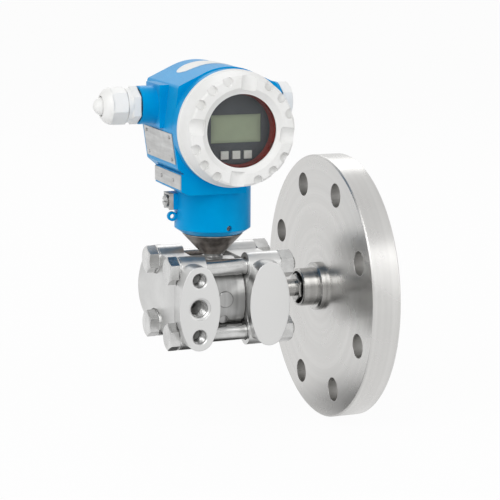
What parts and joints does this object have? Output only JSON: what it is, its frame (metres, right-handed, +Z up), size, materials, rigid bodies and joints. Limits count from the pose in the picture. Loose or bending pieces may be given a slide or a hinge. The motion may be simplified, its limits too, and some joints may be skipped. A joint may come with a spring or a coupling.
{
  "type": "differential pressure transmitter",
  "caption": "Pressure transmitter: round flange with a flush diaphragm, a tube to a bolted measuring cell, and a turnable two-chamber housing with a windowed display and a cable gland.",
  "frame": {"origin": "centre of the bolt circle, on the process side of the flange plate", "axes": "+X along the process axis, into the process; -Y is the display side; +Z is up"},
  "size_m": [0.1989, 0.2, 0.2718],
  "materials": {
    "turned_steel": "turned",
    "membrane_steel": "smooth",
    "cast_steel": "cast and tumbled",
    "white_ptfe": "matt",
    "plated_steel": "bright plated",
    "dark_steel": "dark, as forged",
    "blue_paint": "satin powder coat",
    "plate_steel": "brushed",
    "white_label": "satin film",
    "white_paint": "satin powder coat",
    "clear_glass": "clear",
    "red_rubber": "matt",
    "black_rubber": "matt",
    "dark_plastic": "matt",
    "lcd": "glossy",
    "key_plastic": "matt",
    "board_green": "satin",
    "white_plastic": "satin"
  },
  "bodies": {
    "meter": {"process_flange": "turned_steel", "seal_membrane": "membrane_steel", "seal_hub": "turned_steel", "seal_nipple": "turned_steel", "cell_body": "cast_steel", "cell_fill_plug": "turned_steel", "sensor_element": "turned_steel", "low_isolator": "membrane_steel", "high_isolator": "membrane_steel", "low_side_flange": "cast_steel", "high_side_flange": "cast_steel", "low_flange_seal": "white_ptfe", "high_flange_seal": "white_ptfe", "flange_bolts": "plated_steel", "bolt_washers": "plated_steel", "bolt_nuts": "plated_steel", "vent_valve": "turned_steel", "neck_cone": "dark_steel"},
    "vent": {"vent_screw": "turned_steel"},
    "housing": {"housing_shell": "blue_paint", "type_plate": "plate_steel", "tag_plate": "plate_steel", "plate_rivets": "plated_steel", "top_label": "white_label", "earth_clamp": "plated_steel", "display_frame": "dark_plastic", "lcd_panel": "lcd", "display_board": "board_green", "electronics_insert": "dark_plastic", "terminal_block": "dark_plastic", "terminal_screws": "plated_steel", "gland_seal": "black_rubber", "gland_body": "white_plastic", "entry_plug": "white_plastic", "entry_plug_seal": "black_rubber"},
    "front_slider": {"front_cover_seal": "black_rubber"},
    "front_cap": {"front_cover": "white_paint", "window_glass": "clear_glass", "window_seal": "red_rubber"},
    "rear_slider": {"rear_cover_seal": "black_rubber"},
    "rear_cap": {"rear_cover": "white_paint"},
    "left_key": {"key_left": "key_plastic"},
    "middle_key": {"key_middle": "key_plastic"},
    "right_key": {"key_right": "key_plastic"},
    "gland_slider": {"gland_insert": "black_rubber", "gland_plug": "white_plastic"},
    "gland_cap": {"gland_nut": "white_plastic"},
    "earth": {"earth_screw": "plated_steel"},
    "lock": {"lock_screw": "plated_steel"}
  },
  "joints": [
    {"name": "housing_swivel", "type": "hinge", "parent": "meter", "child": "housing", "pos_m": [-0.1075, 0, 0.05], "axis": [0, 0, 1], "range_deg": [-190, 190]},
    {"name": "front_cover_travel", "type": "slide", "parent": "housing", "child": "front_slider", "axis": [0, -1, 0], "range_m": [0, 0.00751]},
    {"name": "front_cover_turn", "type": "hinge", "parent": "front_slider", "child": "front_cap", "pos_m": [-0.1075, -0.05, 0.1285], "axis": [0, -1, 0], "range_deg": [0, 1800]},
    {"name": "rear_cover_travel", "type": "slide", "parent": "housing", "child": "rear_slider", "axis": [0, 1, 0], "range_m": [0, 0.00601]},
    {"name": "rear_cover_turn", "type": "hinge", "parent": "rear_slider", "child": "rear_cap", "pos_m": [-0.1075, 0.045, 0.1285], "axis": [0, 1, 0], "range_deg": [0, 1440]},
    {"name": "left_key_press", "type": "slide", "parent": "housing", "child": "left_key", "axis": [0, 1, 0], "range_m": [0, 0.0008], "stiffness_N_per_m": 1200, "springref_m": -0.0005},
    {"name": "middle_key_press", "type": "slide", "parent": "housing", "child": "middle_key", "axis": [0, 1, 0], "range_m": [0, 0.0008], "stiffness_N_per_m": 1200, "springref_m": -0.0005},
    {"name": "right_key_press", "type": "slide", "parent": "housing", "child": "right_key", "axis": [0, 1, 0], "range_m": [0, 0.0008], "stiffness_N_per_m": 1200, "springref_m": -0.0005},
    {"name": "gland_nut_travel", "type": "slide", "parent": "housing", "child": "gland_slider", "axis": [-1, 0, 0], "range_m": [0, 0.00601]},
    {"name": "gland_nut_turn", "type": "hinge", "parent": "gland_slider", "child": "gland_cap", "pos_m": [-0.1775, 0.004, 0.1423], "axis": [-1, 0, 0], "range_deg": [0, 1440]},
    {"name": "vent_screw_turn", "type": "hinge", "parent": "meter", "child": "vent", "pos_m": [-0.1345, 0.06, 0], "axis": [0, 1, 0], "range_deg": [0, 720]},
    {"name": "earth_screw_turn", "type": "hinge", "parent": "housing", "child": "earth", "pos_m": [-0.1415, 0.003, 0.0715], "axis": [-1, 0, 0], "range_deg": [0, 720]},
    {"name": "lock_screw_turn", "type": "hinge", "parent": "housing", "child": "lock", "pos_m": [-0.1075, 0, 0.0534], "axis": [0.1045, -0.9945, 0], "range_deg": [0, 720]}
  ],
  "couplings": [
    {"joint": "front_cover_travel", "follows": "front_cover_turn", "m_per_rad": 0.00023873},
    {"joint": "rear_cover_travel", "follows": "rear_cover_turn", "m_per_rad": 0.00023873},
    {"joint": "gland_nut_travel", "follows": "gland_nut_turn", "m_per_rad": 0.00023873}
  ]
}
